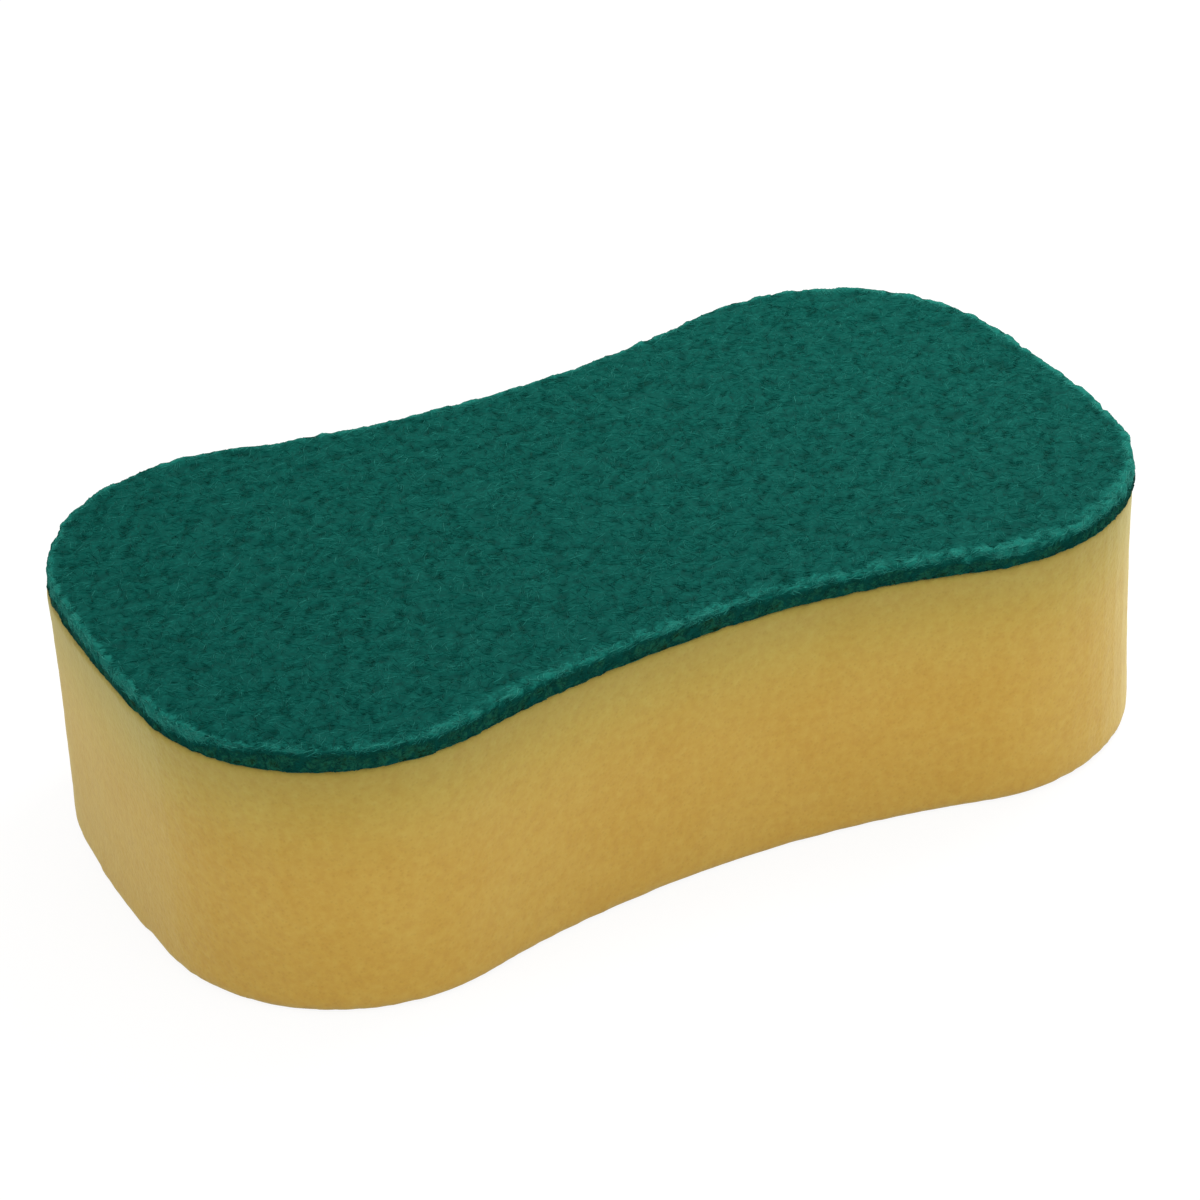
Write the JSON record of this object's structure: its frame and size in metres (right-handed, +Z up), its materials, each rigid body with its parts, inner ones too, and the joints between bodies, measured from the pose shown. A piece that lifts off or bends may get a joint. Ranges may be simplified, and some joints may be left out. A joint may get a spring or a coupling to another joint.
{
  "type": "cleaning sponge",
  "caption": "Waisted household cleaning sponge: a yellow foam block with a green abrasive scouring pad bonded to its top.",
  "frame": {"origin": "middle of the foam's flat underside, on which the sponge rests", "axes": "+X along the sponge's length, +Y across it, +Z up through the foam to the scouring pad"},
  "size_m": [0.2016, 0.1126, 0.055],
  "materials": {
    "foam": "cut open-cell polyurethane foam, fine cells, matte, ochre yellow",
    "scouring_fibre": "non-woven web of abrasive-coated fibres, matte, dark green"
  },
  "bodies": {
    "root": {"foam_block": "foam", "scouring_pad": "scouring_fibre"}
  },
  "joints": []
}
